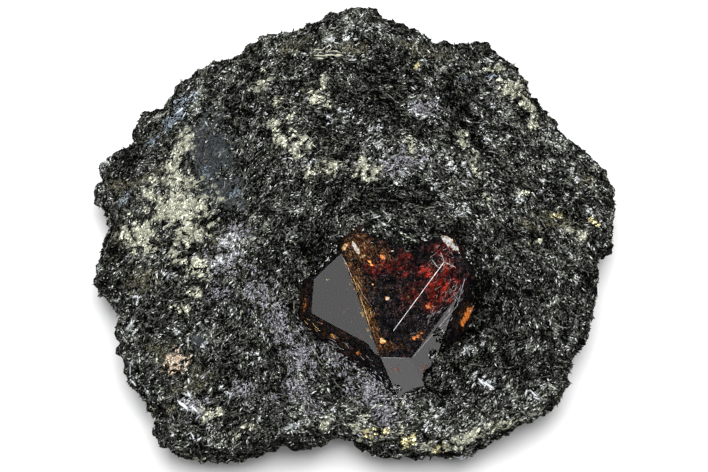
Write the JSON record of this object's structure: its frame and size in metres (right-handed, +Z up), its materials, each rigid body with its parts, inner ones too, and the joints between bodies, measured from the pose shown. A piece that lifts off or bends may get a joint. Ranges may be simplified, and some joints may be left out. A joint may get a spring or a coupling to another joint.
{
  "type": "zircon crystal in biotite schist matrix",
  "caption": "Broken hand specimen of dark biotite schist that lies on its flat cleavage, with a faceted dark red zircon crystal bedded in its upper face.",
  "frame": {"origin": "middle of the piece's box, on the surface that its flat cleavage lies on", "axes": "+X across the piece's longest side, +Z up out of the face that holds the crystal, the crystal's point towards -Y"},
  "size_m": [0.0598, 0.0524, 0.0222],
  "materials": {
    "schist": "sparkling broken mica, black and silver-grey with pale mica patches",
    "zircon": "see-through dark red crystal, mirror-bright side faces and an etched front face"
  },
  "bodies": {
    "root": {"biotite_schist": "schist", "zircon_crystal": "zircon"}
  },
  "joints": []
}
